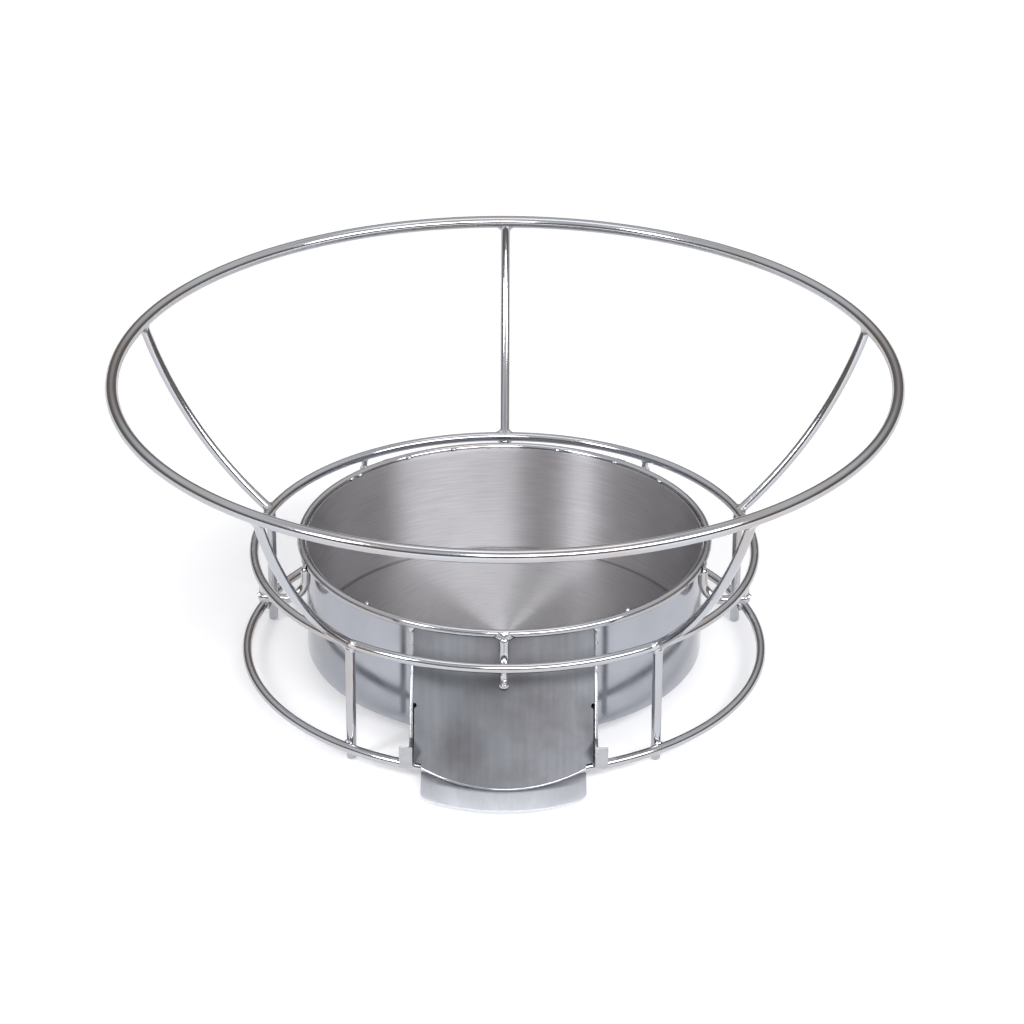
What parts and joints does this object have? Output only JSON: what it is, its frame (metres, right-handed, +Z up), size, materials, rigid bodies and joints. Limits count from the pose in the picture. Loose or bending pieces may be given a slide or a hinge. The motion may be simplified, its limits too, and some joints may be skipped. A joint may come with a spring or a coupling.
{
  "type": "wire bowl stand",
  "caption": "Round wire bowl stand with flared rings, a hung brushed pan, a spout hood at the front and a sliding outlet plate.",
  "frame": {"origin": "on the axis of the rings, in the plane of the leg ends", "axes": "+Z up along the rings' axis; the spout and the slide plate's tongue point along -Y; +X to the right as seen from the spout's side"},
  "size_m": [0.488, 0.4878, 0.202],
  "materials": {
    "polished_wire": "stainless steel round wire, electropolished",
    "weld_metal": "bright cleaned weld metal",
    "brushed_pan": "stainless sheet, turned and brushed round the axis inside, bright outside",
    "hood_sheet": "stainless sheet, mill finish with light heat stains",
    "slide_sheet": "stainless sheet, satin"
  },
  "bodies": {
    "stand": {"top_ring": "polished_wire", "middle_ring": "polished_wire", "base_ring": "polished_wire", "rim_ring": "polished_wire", "strut_right": "polished_wire", "strut_back": "polished_wire", "strut_left": "polished_wire", "strut_front_left": "polished_wire", "strut_front_right": "polished_wire", "leg_right": "polished_wire", "leg_back": "polished_wire", "leg_left": "polished_wire", "leg_front_left": "polished_wire", "leg_front_right": "polished_wire", "hook_front": "polished_wire", "hook_right": "polished_wire", "hook_back_right": "polished_wire", "hook_back_left": "polished_wire", "hook_left": "polished_wire", "hook_welds": "weld_metal", "pan": "brushed_pan", "hood_front": "hood_sheet", "hood_side_left": "hood_sheet", "runner_left": "hood_sheet", "hood_side_right": "hood_sheet", "runner_right": "hood_sheet"},
    "slide": {"slide_plate": "slide_sheet"}
  },
  "joints": [
    {"name": "plate_slide", "type": "slide", "parent": "stand", "child": "slide", "axis": [0, -1, 0], "range_m": [0, 0.04]}
  ]
}
